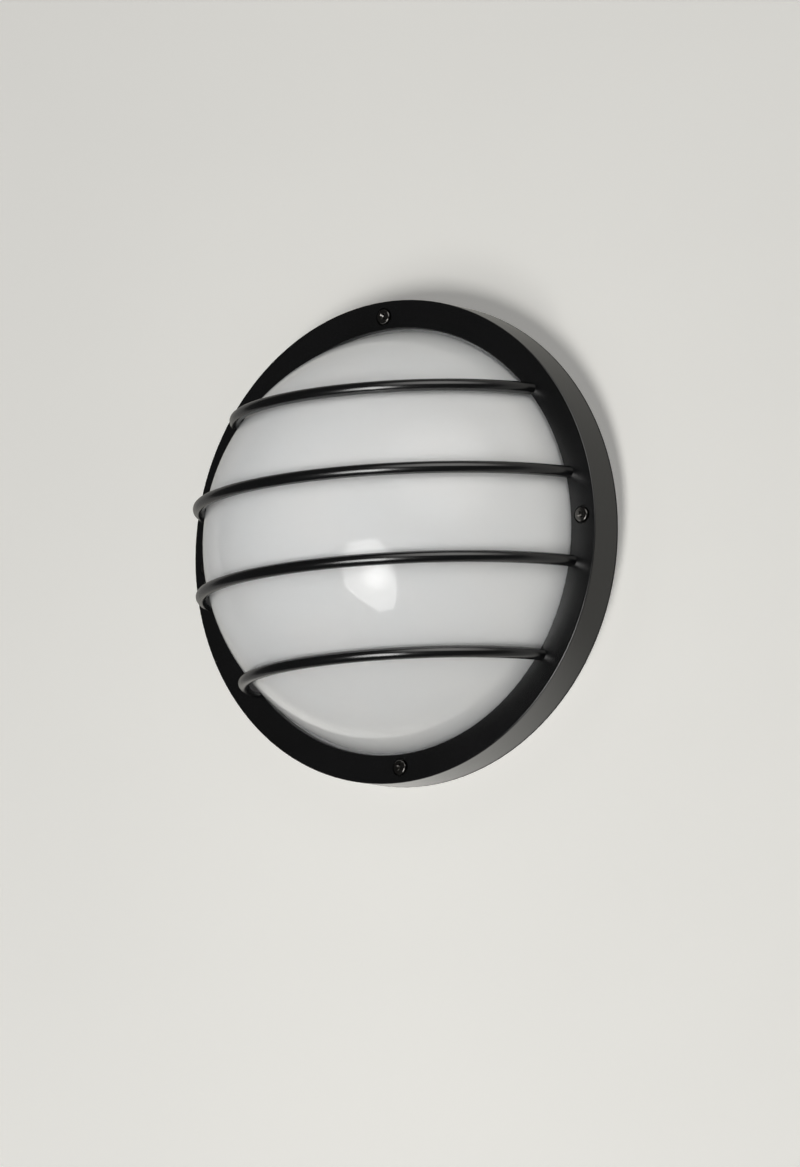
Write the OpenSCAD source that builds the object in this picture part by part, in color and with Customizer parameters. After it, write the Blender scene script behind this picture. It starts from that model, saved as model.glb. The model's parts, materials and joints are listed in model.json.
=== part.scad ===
// Round outdoor wall light: a pressed steel ring with four round guard bars over an opal dome.
// Millimetres. The wall is the plane y = 0, the light stands out from it along -y, and +z is up.

/* [Ring] */
// Outside diameter of the ring
ring_d = 260; // [246:1:290]
// Distance from the wall to the face of the ring
ring_depth = 21.8; // [21:0.1:26]
// Width of the ring's flat face, from its opening to its outside
face_w = 15.4; // [15:0.1:18]
// Thickness of the ring's sheet steel
sheet_t = 1.5; // [1.2:0.1:2]
// Radius of the crisp edge between the face and the skirt
edge_r = 0.7; // [0.5:0.1:1.2]
// How far the rim of the opening reaches back from the face, down to the dome's flange
rim_depth = 4; // [3:0.1:4.5]
// Depth of the pressed recess round each ring screw
recess_depth = 1.6; // [1:0.1:2]

/* [Guard bars] */
// Diameter of the round steel bar
bar_d = 6.4; // [5:0.1:8]
// Height from one bar to the next
bar_pitch = 47.4; // [40:0.1:52]
// How far outside the ring's opening the middle of each bar's foot stands
foot_inset = 1.9; // [1:0.1:5]
// How far behind the wall the centre of the guard's sphere lies
guard_setback = 2.2; // [0:0.1:10]

/* [Dome] */
// Clearance between the dome and the bars
dome_gap = 0.6; // [0.4:0.1:2]
// Wall thickness of the dome
dome_t = 3; // [2:0.1:4]
// Thickness of the dome's flange behind the ring
flange_t = 3; // [2.5:0.1:4]
// Thickness of the gasket under the flange
gasket_t = 2.8; // [2:0.1:3.5]

/* [Base] */
// Thickness of the foam seal against the wall
seal_t = 1.2; // [1:0.1:2]
// Thickness of the base's cast back
back_t = 2.5; // [2:0.1:3]
// Height of the stiffening ribs over the cast back
rib_h = 2; // [1.5:0.1:3]
// Thickness of the stiffening ribs
rib_t = 1.6; // [1.2:0.1:2.5]
// Distance between the two fixing slots
fixing_pitch = 170; // [150:1:176]
// Width of a fixing slot
slot_w = 5.5; // [4.5:0.1:6.5]
// Length of a fixing slot from end to end
slot_l = 12; // [8:0.5:14]
// Diameter of the hole for the cable grommet
entry_d = 21; // [18:0.5:22]
// Diameter of the cable hole in the grommet
cable_d = 8; // [6:0.5:10]

/* [Screws] */
// Diameter of the ring screws' threads
ring_screw_d = 3.9; // [3.5:0.1:4.2]
// Diameter of the ring screws' pan heads
ring_head_d = 8; // [7.4:0.1:8.2]
// Height of the ring screws' heads
ring_head_h = 2.4; // [2:0.1:2.8]
// Length of the ring screws' threads
ring_screw_l = 12; // [9:0.5:14]

/* [Reflector] */
// Distance from the wall to the reflector
reflector_z = 10; // [9:0.1:12]
// Thickness of the reflector sheet
reflector_t = 1; // [0.8:0.1:1.5]
// Height of the reflector's flared rim
rim_h = 5; // [3:0.1:6]

/* [Lamp] */
// Distance from the wall to the lamp's axis
lamp_z = 50; // [46:0.5:56]
// Diameter of the lamp's globe
bulb_d = 60; // [50:1:62]
// Length of the lamp from its contact to its tip
bulb_l = 107; // [98:1:116]
// Length of the lamp holder
holder_l = 40; // [36:0.5:44]
// Thickness of the holder's bracket
bracket_t = 1.5; // [1.2:0.1:2]
// Width of the holder's bracket
bracket_w = 44; // [40:1:48]

/* [Wiring] */
// Distance between two poles of the terminal block
pole_pitch = 10; // [9.5:0.1:12]
// Diameter of the insulated leads
lead_d = 2.2; // [1.6:0.1:2.4]

/* [Hidden] */
$fn = 96;

// Small overshoot of a cut past a face, and the size of a cutting block
cut = 1;
block = 2 * ring_d;

// Ring
ring_r = ring_d / 2;
opening_r = ring_r - face_w;
face_back = ring_depth - sheet_t;
rim_back = ring_depth - rim_depth;
opening_edge_r = 0.5;
screw_angles = [0, 90, 180, 270];
screw_inset = 8.3;
screw_r = ring_r - screw_inset;
washer_t = 0.5;
washer_gap = 0.3;
recess_r = ring_head_d / 2 + 0.9;
recess_boss_r = recess_r + 1.2;
recess_floor = ring_depth - recess_depth;
recess_back = recess_floor - sheet_t;
ring_hole_r = ring_screw_d / 2 + 0.3;

// Guard: the middle lines of the bars lie on one sphere
bar_r = bar_d / 2;
bar_rows = [1.5, 0.5, -0.5, -1.5];
foot_r = opening_r + foot_inset;
guard_r = sqrt(pow(foot_r, 2) + pow(ring_depth + guard_setback, 2));

// Dome: a shell about the same centre as the guard
dome_r = guard_r - bar_r - dome_gap;
flange_back = rim_back - flange_t;
flange_gap = 10.1;
flange_r = ring_r - sheet_t - flange_gap;
notch_gap = 0.4;

// Base
back_top = seal_t + back_t;
pan_gap = 0.6;
pan_r = ring_r - sheet_t - pan_gap;
lip_t = 2;
lip_h = 5;
wall_top = flange_back - gasket_t;
wall_t = 3.2;
wall_r = flange_r - 0.2;
wall_inner_r = wall_r - wall_t;
wall_draft = 0.4;
boss_r = 4.6;
boss_bore_r = ring_screw_d / 2 + 0.05;
boss_bore_end = 1.5;
rib_top = back_top + rib_h;
outer_rib_count = 12;
outer_rib_drop = 0.5;
radial_rib_count = 6;
rib_rings = [40, 75];
rib_gap = 0.1;
drain_w = 10;
pad_rim = 4;
pad_h = 1.5;
pad_top = back_top + pad_h;
seal_r = ring_r;
seal_w = 17;
entry_x = 0;
entry_y = 60;

// Grommet
grommet_lip = 2.5;
grommet_rear_t = 1;
grommet_front_t = 1.5;
grommet_nose = 9.3;
grommet_wall = 2;

// Reflector
rim_gap = 8;
rim_flare = 7;
rim_r = wall_inner_r - rim_gap;
flat_r = rim_r - rim_flare;
reflector_top = reflector_z + reflector_t;
pillar_angles = [90, 210, 330];
pillar_r = 4;
pillar_inset = 5;
pillar_ring_r = flat_r - pillar_inset;
small_screw_r = 1.2;
small_head_r = 2.8;
small_head_h = 2;
small_screw_l = 6;
thread_gap = 0.05;
hole_gap = 0.5;
window_x = [-19, 70];
window_y = [21, 73];
window_r = 8;

// Holder bracket: the face that carries the holder, and its foot
holder_inset = 31.5;
holder_y = holder_inset - flat_r;
foot_l = 22;
bracket_bend = 1.5;
bracket_screw_x = 14;
bracket_screw_inset = 12;
bracket_screw_y = holder_y - bracket_t - bracket_screw_inset;
bracket_pillar_r = 4.5;
bracket_screw_r = 1.9;
bracket_head_r = 3.6;
bracket_head_h = 2.4;
bracket_screw_l = 8;

// Lamp holder, measured along its own axis from the bracket
holder_base_r = bracket_w / 2;
holder_base_l = 9;
holder_body_r = 19;
holder_bore_r = 14.2;
holder_floor = 12;
holder_edge = 1.5;
contact_r = 8;
contact_floor = 9;
holder_screw_x = 16.5;
holder_screw_l = 8;
lead_x = 8;
lead_w = 5;
lead_hole_r = lead_d / 2 + 0.3;
lead_depth = 6;
shell_r = 13.9;
shell_t = 0.5;
shell_l = 25;
shell_hole_r = 9;
spring_r = 6.5;
spring_t = 0.8;
spring_w = 5;
spring_sink = 1;
spring_top = contact_floor - spring_sink + spring_r;

// Lamp, measured along its own axis from its contact
bulb_r = bulb_d / 2;
cap_r = 13.1;
tip_r = 4.5;
tip_h = 1;
cone_r = 9;
cone_h = 2.5;
cap_edge = 1;
neck_r = 14.6;
neck_gap = 0.8;
neck_rise = 4;
neck_angle = 20;
globe_c = bulb_l - bulb_r;
neck_start = holder_l - spring_top + neck_gap;

// Terminal block
term_x = 45;
term_y = 40;
term_w = 18;
term_h = 12;
term_rows = [-1, 0, 1];
term_l = 3 * pole_pitch;
term_z = rib_top;
barrel_z = term_z + 4.8;
barrel_r = 2.9;
barrel_bore_r = 1.7;
barrel_l = 15;
clamp_x = 4.5;
clamp_r = 1.4;
clamp_h = 4;
chimney_r = 2.3;
term_fix_y = term_y - pole_pitch / 2;
term_fix_r = 1.3;
term_fix_seat = barrel_z + barrel_r + 0.5;
term_fix_head_r = 2.6;
term_fix_head_h = 1.8;
groove_w = 1;
groove_h = 3.5;

// Earth point
earth_x = 62;
earth_y = 62;
earth_boss_r = 4.5;
earth_z = back_top + 4;
lug_r = 4;
lug_t = 0.8;
lug_reach = 1.4 * lug_r;
earth_screw_r = 1.6;
earth_head_r = 3.6;
earth_head_h = 2.4;
earth_screw_l = 4;

// Leads: points chosen by hand, in wall coordinates, from the holder to the terminal block
lead_sides = 8;
lead_steps = 3;
lead_run = rib_top + 1.5;
holder_side = lamp_z - sqrt(pow(holder_base_r, 2) - pow(lead_x, 2));
lead_end = 3.5;
live_route = [
    [lead_x, holder_y + lead_w, holder_side + lead_depth - 1],
    [lead_x, holder_y + lead_w, holder_side - 4],
    [lead_x, holder_y + lead_w, 16],
    [9, holder_y + lead_w + 1, 10.4],
    [13, holder_y + lead_w + 5, lead_run],
    [24, -43, lead_run],
    [40, -26, lead_run],
    [53, -8, lead_run],
    [61, 8, lead_run],
    [66, 24, 8],
    [66, 34, 9.8],
    [62, term_y - 0.5, barrel_z],
    [57, term_y, barrel_z],
    [term_x + lead_end, term_y, barrel_z]
];
neutral_route = [
    [-lead_x, holder_y + lead_w, holder_side + lead_depth - 1],
    [-lead_x, holder_y + lead_w, holder_side - 4],
    [-lead_x, holder_y + lead_w, 16],
    [-7, holder_y + lead_w + 1, 10.4],
    [-2, holder_y + lead_w + 5, lead_run],
    [14, -40, lead_run],
    [32, -22, lead_run],
    [46, -4, lead_run],
    [55, 9, lead_run],
    [60, 20, 8.6],
    [60, term_y - pole_pitch - 3, barrel_z - 0.6],
    [57, term_y - pole_pitch, barrel_z],
    [term_x + lead_end, term_y - pole_pitch, barrel_z]
];
earth_route = [
    [earth_x, earth_y - lug_reach, earth_z + lug_t / 2],
    [earth_x, earth_y - 2 * lug_r, earth_z + lug_t / 2],
    [61, term_y + pole_pitch + 1.5, barrel_z - 1],
    [58, term_y + pole_pitch, barrel_z],
    [term_x + lead_end, term_y + pole_pitch, barrel_z]
];

// Local axes on the wall: x stays, y becomes up and z becomes the distance out from the wall
module on_wall() {
    rotate([90, 0, 0]) children();
}

// Local axes at the lamp: z runs along the lamp and y points back to the wall
module on_lamp() {
    on_wall() translate([0, holder_y, lamp_z]) rotate([-90, 0, 0]) children();
}

// Copies at the given angles on a circle about the middle of the light
module at_circle(radius, angles) {
    for (angle = angles)
        rotate([0, 0, angle]) translate([radius, 0, 0]) children();
}

// Places for the ring's screws
module at_ring_screws() {
    at_circle(screw_r, screw_angles) children();
}

// Rod between two distances from the wall
module rod(radius, low, high) {
    translate([0, 0, low]) cylinder(r = radius, h = high - low);
}

// What a rounded outer corner takes away, with the corner at the origin
module corner(radius) {
    translate([-radius, -radius]) difference() {
        square(radius + cut);
        circle(r = radius);
    }
}

// Slot with round ends, along x
module slot_shape(length, width) {
    square([length - width, width], center = true);
    for (side = [-1, 1])
        translate([side * (length - width) / 2, 0]) circle(d = width);
}

// Rectangle with round corners
module rounded_shape(low, high, radius) {
    translate([low.x + radius, low.y]) square([high.x - low.x - 2 * radius, high.y - low.y]);
    translate([low.x, low.y + radius]) square([high.x - low.x, high.y - low.y - 2 * radius]);
    for (x = [low.x + radius, high.x - radius], y = [low.y + radius, high.y - radius])
        translate([x, y]) circle(r = radius);
}

// Pan head screw: its shank runs back from the seat and its head stands on it
module pan_screw(shank_r, shank_l, head_r, head_h) {
    dome_h = 0.45 * head_h;
    ball_r = (pow(head_r, 2) + pow(dome_h, 2)) / (2 * dome_h);
    rod(shank_r, -shank_l, head_h / 2);
    intersection() {
        rod(head_r, 0, head_h);
        translate([0, 0, head_h - ball_r]) sphere(r = ball_r);
    }
}

// Points of a smooth curve through the chosen points
function curve_point(a, b, c, d, t) =
    0.5 * ((2 * b) + (c - a) * t + (2 * a - 5 * b + 4 * c - d) * t * t
    + (3 * b - a - 3 * c + d) * t * t * t);
function curve(points, steps) = let (last = len(points) - 1) [
    for (i = [0 : last - 1], s = [0 : steps - 1])
        curve_point(points[max(i - 1, 0)], points[i], points[i + 1], points[min(i + 2, last)], s / steps),
    points[last]
];
function unit(v) = v / norm(v);
function direction(path, i) = unit(path[min(i + 1, len(path) - 1)] - path[max(i - 1, 0)]);
function side_axis(path, i, start) = i == 0
    ? unit(start - (start * direction(path, 0)) * direction(path, 0))
    : let (before = side_axis(path, i - 1, start), along = direction(path, i))
        unit(before - (before * along) * along);

// Tube swept along the points, one ring of corners for each
module tube(points, diameter) {
    path = curve(points, lead_steps);
    rings = len(path);
    corners = [
        for (i = [0 : rings - 1])
            let (u = side_axis(path, i, [1, 0.3, 0.2]), v = cross(direction(path, i), u))
            for (k = [0 : lead_sides - 1])
                let (angle = 360 * k / lead_sides)
                path[i] + diameter / 2 * (cos(angle) * u + sin(angle) * v)
    ];
    sides = [
        for (i = [0 : rings - 2], k = [0 : lead_sides - 1])
            let (low = i * lead_sides, high = low + lead_sides, next = (k + 1) % lead_sides)
            [low + k, high + k, high + next, low + next]
    ];
    start_cap = [for (k = [0 : lead_sides - 1]) k];
    end_cap = [for (k = [lead_sides - 1 : -1 : 0]) (rings - 1) * lead_sides + k];
    polyhedron(points = corners, faces = concat(sides, [start_cap], [end_cap]), convexity = 10);
}

// Section of the ring: flat face, skirt back to the wall, and the rim that holds the dome's flange
module ring_section() {
    difference() {
        translate([opening_r, seal_t]) square([face_w, ring_depth - seal_t]);
        translate([opening_r + sheet_t, seal_t - cut])
            square([face_w - 2 * sheet_t, face_back - seal_t + cut]);
        translate([opening_r - cut, seal_t - cut]) square([sheet_t + 2 * cut, rim_back - seal_t + cut]);
        translate([ring_r, ring_depth]) corner(edge_r);
        translate([opening_r, ring_depth]) mirror([1, 0]) corner(opening_edge_r);
    }
}

module front_ring() color([0.07, 0.07, 0.075]) on_wall() {
    difference() {
        union() {
            rotate_extrude() ring_section();
            at_ring_screws() rod(recess_boss_r, recess_back, face_back + sheet_t / 2);
        }
        at_ring_screws() {
            rod(recess_r, recess_floor, ring_depth + cut);
            rod(ring_hole_r, recess_back - cut, ring_depth);
        }
    }
}

// Bar number index: a round arc about the upright axis through the sphere's centre, cut flat
// where it stands on the face of the ring
module guard_bar(index) color([0.06, 0.06, 0.065]) {
    height = bar_rows[index] * bar_pitch;
    arc_r = sqrt(pow(guard_r, 2) - pow(height, 2));
    difference() {
        translate([0, guard_setback, height]) rotate([0, 0, 180])
            rotate_extrude(angle = 180) translate([arc_r, 0]) circle(r = bar_r);
        translate([-block / 2, -ring_depth, -block / 2]) cube([block, block, block]);
    }
}

// Section of the dome: a shell cut off flat at its flange
module dome_section() {
    difference() {
        union() {
            translate([0, -guard_setback]) circle(r = dome_r);
            translate([0, flange_back]) square([flange_r, flange_t]);
        }
        translate([0, -guard_setback]) circle(r = dome_r - dome_t);
        translate([-block, -block]) square([block, 2 * block]);
        translate([-cut, flange_back - block]) square([block, block]);
    }
}

module diffuser() color([0.93, 0.93, 0.92]) on_wall() {
    difference() {
        rotate_extrude() dome_section();
        at_ring_screws()
            rod(boss_r + notch_gap, flange_back - cut, ring_depth);
    }
}

module ring_screws() color([0.25, 0.25, 0.26]) on_wall() {
    at_ring_screws() translate([0, 0, recess_floor + washer_t])
        pan_screw(ring_screw_d / 2, ring_screw_l, ring_head_d / 2, ring_head_h);
}

module screw_washers() color([0.12, 0.12, 0.12]) on_wall() {
    at_ring_screws() difference() {
        rod(recess_r - washer_gap, recess_floor, recess_floor + washer_t);
        rod(ring_screw_d / 2 + thread_gap, recess_floor - cut, recess_floor + washer_t + cut);
    }
}

module wall_seal() color([0.16, 0.16, 0.16]) on_wall() {
    difference() {
        rod(seal_r, 0, seal_t);
        rod(seal_r - seal_w, -cut, seal_t + cut);
    }
}

// Section of the wall under the dome's gasket, with a little draft. It can start below the back's face.
module wall_section(below = 0) {
    polygon([
        [wall_inner_r - wall_draft, back_top - below],
        [wall_r + wall_draft, back_top - below],
        [wall_r + wall_draft, back_top],
        [wall_r, wall_top],
        [wall_inner_r, wall_top],
        [wall_inner_r - wall_draft, back_top]
    ]);
}

// Gap in the lip at the bottom, where water runs out
module drain() {
    rotate([0, 0, -90]) translate([wall_r + lip_t, -drain_w / 2, back_top - cut])
        cube([block, drain_w, lip_h + 2 * cut]);
}

// Outline of the ribs cast on the back: two rings, and spokes between them and out to the gasket wall
module rib_shape() {
    for (radius = rib_rings)
        difference() {
            circle(r = radius + rib_t / 2);
            circle(r = radius - rib_t / 2);
        }
    for (i = [0 : radial_rib_count - 1]) {
        step = 360 / radial_rib_count;
        rotate(i * step) translate([rib_rings[0], -rib_t / 2])
            square([rib_rings[1] - rib_rings[0], rib_t]);
        rotate((i + 0.5) * step) translate([rib_rings[1], -rib_t / 2])
            square([wall_inner_r - wall_draft - rib_gap - rib_rings[1], rib_t]);
    }
}

// Short ribs between the gasket wall and the lip
module outer_ribs() {
    for (i = [0 : outer_rib_count - 1])
        rotate([0, 0, (i + 0.5) * 360 / outer_rib_count])
            translate([wall_r - cut, -rib_t / 2, back_top])
            cube([pan_r - lip_t - wall_r + 1.5 * cut, rib_t, lip_h - outer_rib_drop]);
}

// Places of the two screws in the bracket's foot
module at_bracket_screws() {
    for (side = [-1, 1])
        translate([side * bracket_screw_x, bracket_screw_y, 0]) children();
}

// Back of the base with its ribs, pillars and fixing pads
module base_pan() color([0.72, 0.73, 0.74]) on_wall() {
    difference() {
        union() {
            rod(pan_r, seal_t, back_top);
            translate([0, 0, seal_t]) linear_extrude(back_t + rib_h) rib_shape();
            at_circle(pillar_ring_r, pillar_angles) rod(pillar_r, seal_t, reflector_z);
            at_bracket_screws() rod(bracket_pillar_r, seal_t, reflector_z);
            for (side = [-1, 1])
                translate([side * fixing_pitch / 2, 0, 0]) linear_extrude(pad_top)
                    slot_shape(slot_l + 2 * pad_rim, slot_w + 2 * pad_rim);
            translate([term_x - term_w / 2, term_y - term_l / 2, seal_t])
                cube([term_w, term_l, term_z - seal_t]);
            translate([earth_x, earth_y, 0]) rod(earth_boss_r, seal_t, earth_z);
        }
        for (side = [-1, 1])
            translate([side * fixing_pitch / 2, 0, -cut]) linear_extrude(pad_top + 2 * cut)
                slot_shape(slot_l, slot_w);
        translate([entry_x, entry_y, 0]) rod(entry_d / 2, -cut, rib_top + cut);
        at_circle(pillar_ring_r, pillar_angles)
            rod(small_screw_r + thread_gap, seal_t + boss_bore_end, reflector_z + cut);
        at_bracket_screws()
            rod(bracket_screw_r + thread_gap, seal_t + boss_bore_end, reflector_z + cut);
        translate([term_x, term_fix_y, 0])
            rod(term_fix_r + thread_gap, seal_t + boss_bore_end, term_z + cut);
        translate([earth_x, earth_y, 0])
            rod(earth_screw_r + thread_gap, seal_t + boss_bore_end, earth_z + cut);
    }
}

// Gasket wall of the base with the bosses for the ring's screws, cast in one piece with the back
module base_wall() color([0.72, 0.73, 0.74]) on_wall() {
    difference() {
        union() {
            rotate_extrude() wall_section();
            at_ring_screws() rod(boss_r, back_top, recess_back);
        }
        at_ring_screws() rod(boss_bore_r, back_top - cut, recess_back + cut);
        drain();
    }
}

// Lip of the base just inside the ring, and the short ribs to it, also of that casting
module base_lip() color([0.72, 0.73, 0.74]) on_wall() {
    difference() {
        union() {
            rotate_extrude() translate([pan_r - lip_t, back_top]) square([lip_t, lip_h]);
            outer_ribs();
        }
        rotate_extrude() wall_section(cut);
        at_ring_screws() rod(boss_r, back_top - cut, recess_back + cut);
        drain();
    }
}

module cable_grommet() color([0.1, 0.1, 0.1]) on_wall() {
    neck_r = entry_d / 2;
    lip_r = neck_r + grommet_lip;
    bore_r = cable_d / 2;
    lip_top = back_top + grommet_front_t;
    translate([entry_x, entry_y, 0]) difference() {
        rotate_extrude() polygon([
            [0, seal_t - grommet_rear_t],
            [lip_r, seal_t - grommet_rear_t],
            [lip_r, seal_t],
            [neck_r, seal_t],
            [neck_r, back_top],
            [lip_r, back_top],
            [lip_r, lip_top],
            [neck_r - grommet_wall, lip_top],
            [bore_r + grommet_wall, back_top + grommet_nose],
            [0, back_top + grommet_nose]
        ]);
        rod(bore_r, -cut, back_top + grommet_nose + cut);
    }
}

module diffuser_gasket() color([0.55, 0.55, 0.56]) on_wall() {
    difference() {
        rod(wall_r, wall_top, flange_back);
        rod(wall_inner_r, wall_top - cut, flange_back + cut);
        at_ring_screws() rod(boss_r + notch_gap, wall_top - cut, flange_back + cut);
    }
}

// Flat reflector with a flared rim, and openings for the terminal block, the cable and the leads
module reflector_plate() color([0.95, 0.95, 0.94]) on_wall() {
    difference() {
        rotate_extrude() polygon([
            [0, reflector_z],
            [flat_r, reflector_z],
            [rim_r, reflector_z + rim_h],
            [rim_r, reflector_top + rim_h],
            [flat_r, reflector_top],
            [0, reflector_top]
        ]);
        at_circle(pillar_ring_r, pillar_angles)
            rod(small_screw_r + hole_gap, reflector_z - cut, reflector_top + cut);
        at_bracket_screws()
            rod(bracket_screw_r + hole_gap, reflector_z - cut, reflector_top + cut);
        translate([0, 0, reflector_z - cut]) linear_extrude(reflector_t + 2 * cut) {
            rounded_shape([window_x[0], window_y[0]], [window_x[1], window_y[1]], window_r);
            translate([0, holder_y + lead_w + 1]) slot_shape(2 * lead_x + 8, 8);
        }
    }
}

module reflector_screws() color([0.75, 0.75, 0.76]) on_wall() {
    at_circle(pillar_ring_r, pillar_angles) translate([0, 0, reflector_top])
        pan_screw(small_screw_r, small_screw_l, small_head_r, small_head_h);
}

// Bent bracket: section along its width, then the round top of its upright
module bracket_section() {
    bend_y = holder_y - bracket_t - bracket_bend;
    bend_z = reflector_top + bracket_t + bracket_bend;
    translate([bend_y - foot_l + bracket_bend, reflector_top]) square([foot_l - bracket_bend, bracket_t]);
    translate([holder_y - bracket_t, bend_z]) square([bracket_t, lamp_z + bracket_w]);
    intersection() {
        translate([bend_y, bend_z]) difference() {
            circle(r = bracket_bend + bracket_t);
            circle(r = bracket_bend);
        }
        translate([bend_y, bend_z - block]) square(block);
    }
}

module holder_bracket() color([0.8, 0.8, 0.8]) on_wall() {
    difference() {
        intersection() {
            translate([-bracket_w / 2, 0, 0]) rotate([90, 0, 90])
                linear_extrude(bracket_w) bracket_section();
            translate([0, holder_y + cut, 0]) rotate([90, 0, 0]) linear_extrude(block) {
                translate([0, lamp_z]) circle(r = bracket_w / 2);
                translate([-bracket_w / 2, 0]) square([bracket_w, lamp_z]);
            }
        }
        at_bracket_screws()
            rod(bracket_screw_r + hole_gap, reflector_top - cut, reflector_top + bracket_t + cut);
        for (side = [-1, 1])
            translate([side * holder_screw_x, holder_y + cut, lamp_z]) rotate([90, 0, 0])
                cylinder(r = bracket_screw_r + hole_gap, h = bracket_t + 2 * cut);
    }
}

module bracket_screws() color([0.75, 0.75, 0.76]) on_wall() {
    at_bracket_screws() translate([0, 0, reflector_top + bracket_t])
        pan_screw(bracket_screw_r, bracket_screw_l, bracket_head_r, bracket_head_h);
}

// Ceramic body with its bore, contact chamber, screw holes and lead holes
module lamp_holder() color([0.9, 0.88, 0.84]) on_lamp() {
    difference() {
        rotate_extrude() difference() {
            union() {
                square([holder_base_r, holder_base_l]);
                square([holder_body_r, holder_l]);
            }
            translate([holder_base_r, holder_base_l]) corner(holder_edge);
            translate([holder_body_r, holder_l]) corner(holder_edge);
        }
        rod(holder_bore_r, holder_floor, holder_l + cut);
        rod(contact_r, contact_floor, holder_floor + cut);
        for (side = [-1, 1]) {
            translate([side * holder_screw_x, 0, 0])
                rod(bracket_screw_r + thread_gap, -cut, holder_screw_l + thread_gap);
            translate([side * lead_x, lamp_z - holder_side - lead_depth, lead_w]) rotate([-90, 0, 0])
                cylinder(r = lead_hole_r, h = lead_depth + holder_base_r);
        }
    }
}

module holder_shell() color([0.8, 0.65, 0.3]) on_lamp() {
    difference() {
        rod(shell_r, holder_floor, holder_floor + shell_l);
        rod(shell_r - shell_t, holder_floor + shell_t, holder_floor + shell_l + cut);
        rod(shell_hole_r, holder_floor - cut, holder_floor + shell_l);
    }
}

// Arched spring under the lamp's contact
module holder_contact() color([0.8, 0.65, 0.3]) on_lamp() {
    translate([0, spring_w / 2, contact_floor]) rotate([90, 0, 0]) linear_extrude(spring_w)
        difference() {
            translate([0, -spring_sink]) circle(r = spring_r);
            translate([0, -spring_sink]) circle(r = spring_r - spring_t);
            translate([-block / 2, -block]) square(block);
        }
}

module holder_screws() color([0.75, 0.75, 0.76]) on_lamp() {
    for (side = [-1, 1])
        translate([side * holder_screw_x, 0, -bracket_t]) rotate([180, 0, 0])
            pan_screw(bracket_screw_r, holder_screw_l + bracket_t - 0.5, bracket_head_r, bracket_head_h);
}

// Sealed lamp: contact, cone, cap, flared neck and round globe in one revolve
module lamp_bulb() color([0.96, 0.96, 0.95]) on_lamp() {
    translate([0, 0, spring_top]) rotate_extrude() {
        polygon([
            [0, 0],
            [tip_r, 0],
            [tip_r, tip_h],
            [cone_r, tip_h + cone_h],
            [cap_r - cap_edge, tip_h + cone_h],
            [cap_r, tip_h + cone_h + cap_edge],
            [cap_r, neck_start],
            [neck_r, neck_start],
            [neck_r, neck_start + neck_rise],
            [bulb_r * cos(neck_angle), globe_c - bulb_r * sin(neck_angle)],
            [0, globe_c - bulb_r * sin(neck_angle)]
        ]);
        intersection() {
            translate([0, globe_c]) circle(r = bulb_r);
            translate([0, globe_c - bulb_r * sin(neck_angle)]) square(block);
        }
    }
}

// Places of the poles along the terminal block
module at_poles() {
    for (row = term_rows)
        translate([term_x, term_y + row * pole_pitch, 0]) children();
}

module terminal_block() color([0.92, 0.92, 0.9]) on_wall() {
    groove_y = term_y + (pole_pitch - groove_w) / 2;
    difference() {
        translate([term_x - term_w / 2, term_y - term_l / 2, term_z]) cube([term_w, term_l, term_h]);
        at_poles() {
            translate([-term_w / 2 - cut, 0, barrel_z]) rotate([0, 90, 0])
                cylinder(r = barrel_r + thread_gap, h = term_w + 2 * cut);
            for (side = [-1, 1])
                translate([side * clamp_x, 0, 0]) rod(chimney_r, barrel_z, term_z + term_h + cut);
        }
        translate([term_x, term_fix_y, 0]) {
            rod(term_fix_r + thread_gap, term_z - cut, term_z + term_h);
            rod(term_fix_head_r + 0.4, term_fix_seat, term_z + term_h + cut);
        }
        translate([term_x - term_w / 2 - cut, groove_y, term_z + term_h - groove_h])
            cube([term_w + 2 * cut, groove_w, groove_h + cut]);
    }
}

module terminal_barrels() color([0.82, 0.68, 0.35]) on_wall() {
    at_poles() difference() {
        translate([-barrel_l / 2, 0, barrel_z]) rotate([0, 90, 0]) difference() {
            cylinder(r = barrel_r, h = barrel_l);
            translate([0, 0, -cut]) cylinder(r = barrel_bore_r, h = barrel_l + 2 * cut);
        }
        for (side = [-1, 1])
            translate([side * clamp_x, 0, 0]) rod(clamp_r + thread_gap, barrel_z, barrel_z + 2 * barrel_r);
    }
}

module terminal_screws() color([0.78, 0.78, 0.78]) on_wall() {
    at_poles() for (side = [-1, 1])
        translate([side * clamp_x, 0, 0])
            rod(clamp_r, barrel_z + lead_d / 2, barrel_z + lead_d / 2 + clamp_h);
}

module terminal_fixing_screw() color([0.75, 0.75, 0.76]) on_wall() {
    shank_l = term_fix_seat - seal_t - boss_bore_end - 0.5;
    translate([term_x, term_fix_y, term_fix_seat])
        pan_screw(term_fix_r, shank_l, term_fix_head_r, term_fix_head_h);
}

module live_lead() color([0.45, 0.27, 0.15]) on_wall() tube(live_route, lead_d);

module neutral_lead() color([0.2, 0.35, 0.7]) on_wall() tube(neutral_route, lead_d);

// Earth lead with the ring lug under its screw
module earth_lead() color([0.35, 0.6, 0.25]) on_wall() {
    tube(earth_route, lead_d);
    translate([earth_x, earth_y, earth_z]) difference() {
        union() {
            cylinder(r = lug_r, h = lug_t);
            translate([-lug_r / 2, -7, 0]) cube([lug_r, 7, lug_t]);
        }
        translate([0, 0, -cut]) cylinder(r = earth_screw_r + 0.2, h = lug_t + 2 * cut);
    }
}

module earth_screw() color([0.75, 0.75, 0.76]) on_wall() {
    translate([earth_x, earth_y, earth_z + lug_t])
        pan_screw(earth_screw_r, earth_screw_l + lug_t, earth_head_r, earth_head_h);
}

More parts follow.
